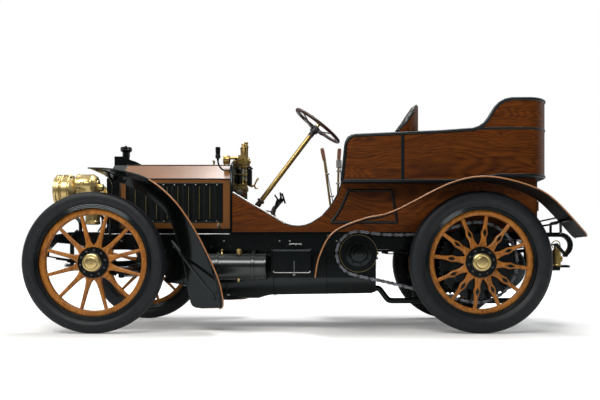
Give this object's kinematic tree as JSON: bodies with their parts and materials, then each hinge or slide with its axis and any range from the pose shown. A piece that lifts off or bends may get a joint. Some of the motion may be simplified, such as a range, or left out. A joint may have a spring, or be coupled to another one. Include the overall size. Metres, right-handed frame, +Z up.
{
  "type": "brass era car",
  "caption": "Open chain-driven touring car with wooden spoked wheels, louvred bonnet, brass lamps, swept wings and a varnished wood tonneau body entered from the rear.",
  "frame": {"origin": "on the ground, under the middle of its length and width", "axes": "+X towards the rear, +Y towards the car's right, +Z up"},
  "size_m": [3.6936, 1.712, 1.6583],
  "materials": {
    "black_paint": "gloss",
    "wheel_wood": "satin varnish",
    "body_wood": "gloss varnish",
    "copper_paint": "gloss",
    "brass": "polished",
    "tyre_rubber": "matte",
    "steel": "bare",
    "leather": "buttoned",
    "lens": "clear",
    "iron": "as cast",
    "floor_wood": "satin"
  },
  "bodies": {
    "chassis": {"bonnet": "copper_paint", "bonnet_louvres": "black_paint", "brass_lamps": "brass", "countershaft": "black_paint", "cross_members": "black_paint", "dashboard": "black_paint", "drive_chains": "steel", "engine_block": "iron", "exhaust_pipe": "steel", "floor_boards": "floor_wood", "front_axle": "black_paint", "front_seat_back": "body_wood", "front_wings": "black_paint", "fuel_tank": "black_paint", "hand_levers": "brass", "iron_brackets": "black_paint", "lamp_glass": "lens", "leaf_springs": "black_paint", "lower_sides": "body_wood", "lubricator": "brass", "pedals": "black_paint", "radiator_core": "black_paint", "radiator_shell": "black_paint", "rear_axle": "black_paint", "rear_step": "black_paint", "rear_wings": "black_paint", "seat_boxes": "floor_wood", "seat_cushions": "leather", "seat_squabs": "leather", "side_rails": "black_paint", "side_tank": "black_paint", "starting_crank": "black_paint", "steering_column": "brass", "tool_box": "black_paint", "undertray": "black_paint", "upper_sides": "body_wood"},
    "rear_door": {"rear_door": "body_wood"},
    "steering_wheel": {"steering_wheel": "steel"},
    "left_knuckle": {"left_knuckle": "black_paint"},
    "right_knuckle": {"right_knuckle": "black_paint"},
    "tie_rod": {"tie_rod": "black_paint"},
    "drag_link": {"drag_link": "black_paint"},
    "drop_arm": {"drop_arm": "black_paint"},
    "left_drive_sprocket": {"left_drive_sprocket": "black_paint"},
    "right_drive_sprocket": {"right_drive_sprocket": "black_paint"},
    "front_left_wheel": {"front_left_rim_and_hub": "black_paint", "front_left_tyre": "tyre_rubber", "front_left_wood_wheel": "wheel_wood"},
    "front_right_wheel": {"front_right_rim_and_hub": "black_paint", "front_right_tyre": "tyre_rubber", "front_right_wood_wheel": "wheel_wood"},
    "rear_left_wheel": {"rear_left_rim_and_hub": "black_paint", "rear_left_tyre": "tyre_rubber", "rear_left_wood_wheel": "wheel_wood"},
    "rear_right_wheel": {"rear_right_rim_and_hub": "black_paint", "rear_right_tyre": "tyre_rubber", "rear_right_wood_wheel": "wheel_wood"}
  },
  "joints": [
    {"name": "steer", "type": "hinge", "parent": "chassis", "child": "left_knuckle", "pos_m": [-1.38925, -0.61, 0.4575], "axis": [0, 0, 1], "range_deg": [-25, 25]},
    {"name": "right_steer", "type": "hinge", "parent": "chassis", "child": "right_knuckle", "pos_m": [-1.38925, 0.61, 0.4575], "axis": [0, 0, 1], "range_deg": [-25, 25]},
    {"name": "tie_rod_pivot", "type": "hinge", "parent": "left_knuckle", "child": "tie_rod", "pos_m": [-1.23925, -0.61, 0.372], "axis": [0, 0, 1], "range_deg": [-25, 25]},
    {"name": "drag_link_pivot", "type": "hinge", "parent": "right_knuckle", "child": "drag_link", "pos_m": [-1.32036, 0.46227, 0.54], "axis": [0, 0, 1], "range_deg": [-28, 28]},
    {"name": "drop_arm_swing", "type": "hinge", "parent": "chassis", "child": "drop_arm", "pos_m": [-0.62925, 0.46227, 0.64], "axis": [0, -1, 0], "range_deg": [-35, 35]},
    {"name": "steering_wheel_turn", "type": "hinge", "parent": "chassis", "child": "steering_wheel", "pos_m": [0.03475, 0.28, 1.525], "axis": [0.6036, 0, 0.7973], "range_deg": [-250, 250]},
    {"name": "front_left_spin", "type": "hinge", "parent": "left_knuckle", "child": "front_left_wheel", "pos_m": [-1.38925, -0.7, 0.4575], "axis": [0, 1, 0], "continuous": true},
    {"name": "front_right_spin", "type": "hinge", "parent": "right_knuckle", "child": "front_right_wheel", "pos_m": [-1.38925, 0.7, 0.4575], "axis": [0, 1, 0], "continuous": true},
    {"name": "rear_left_spin", "type": "hinge", "parent": "chassis", "child": "rear_left_wheel", "pos_m": [1.11075, -0.7, 0.46], "axis": [0, 1, 0], "continuous": true},
    {"name": "left_sprocket_spin", "type": "hinge", "parent": "chassis", "child": "left_drive_sprocket", "pos_m": [0.32475, -0.575, 0.519], "axis": [0, 1, 0], "continuous": true},
    {"name": "rear_right_spin", "type": "hinge", "parent": "chassis", "child": "rear_right_wheel", "pos_m": [1.11075, 0.7, 0.46], "axis": [0, 1, 0], "continuous": true},
    {"name": "right_sprocket_spin", "type": "hinge", "parent": "chassis", "child": "right_drive_sprocket", "pos_m": [0.32475, 0.575, 0.519], "axis": [0, 1, 0], "continuous": true},
    {"name": "rear_door_hinge", "type": "hinge", "parent": "chassis", "child": "rear_door", "pos_m": [1.60975, -0.223, 1.1], "axis": [0, 0, -1], "range_deg": [0, 100]}
  ],
  "couplings": [
    {"joint": "right_steer", "follows": "steer", "ratio": 1},
    {"joint": "tie_rod_pivot", "follows": "steer", "ratio": -1},
    {"joint": "drag_link_pivot", "follows": "steer", "ratio": -1.0966},
    {"joint": "drop_arm_swing", "follows": "steer", "ratio": 1.4},
    {"joint": "steering_wheel_turn", "follows": "steer", "ratio": 10},
    {"joint": "left_sprocket_spin", "follows": "rear_left_spin", "ratio": 1.8333},
    {"joint": "right_sprocket_spin", "follows": "rear_right_spin", "ratio": 1.8333}
  ]
}
